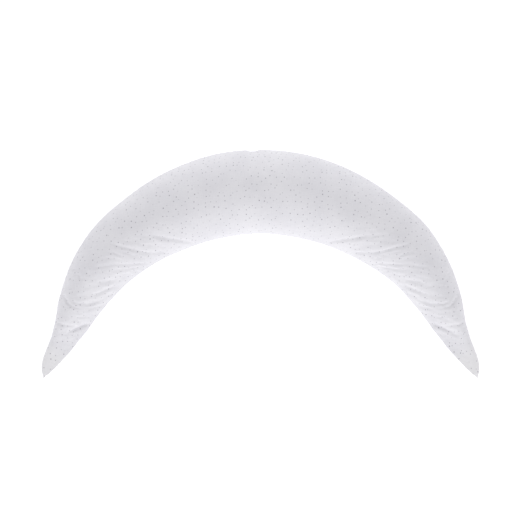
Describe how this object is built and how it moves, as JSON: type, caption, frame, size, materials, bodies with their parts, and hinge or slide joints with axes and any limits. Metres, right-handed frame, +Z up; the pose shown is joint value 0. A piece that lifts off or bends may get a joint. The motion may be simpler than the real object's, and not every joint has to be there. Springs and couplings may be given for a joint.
{
  "type": "pregnancy pillow",
  "caption": "Long crescent of stuffed, finely dotted cotton that a lying or seated person rests along, tapering to flat unfilled tips.",
  "frame": {"origin": "on the surface that the pillow lies on, under the centre of its box, so in the open space inside the arch", "axes": "+X from the left tip to the right tip, +Y from the tips to the middle of the arch, +Z up out of the face of the pillow"},
  "size_m": [1.2176, 0.629, 0.1903],
  "materials": {
    "dotted_cotton": "matt white cotton printed with tiny scattered grey dots"
  },
  "bodies": {
    "root": {"crescent_pillow": "dotted_cotton"}
  },
  "joints": []
}
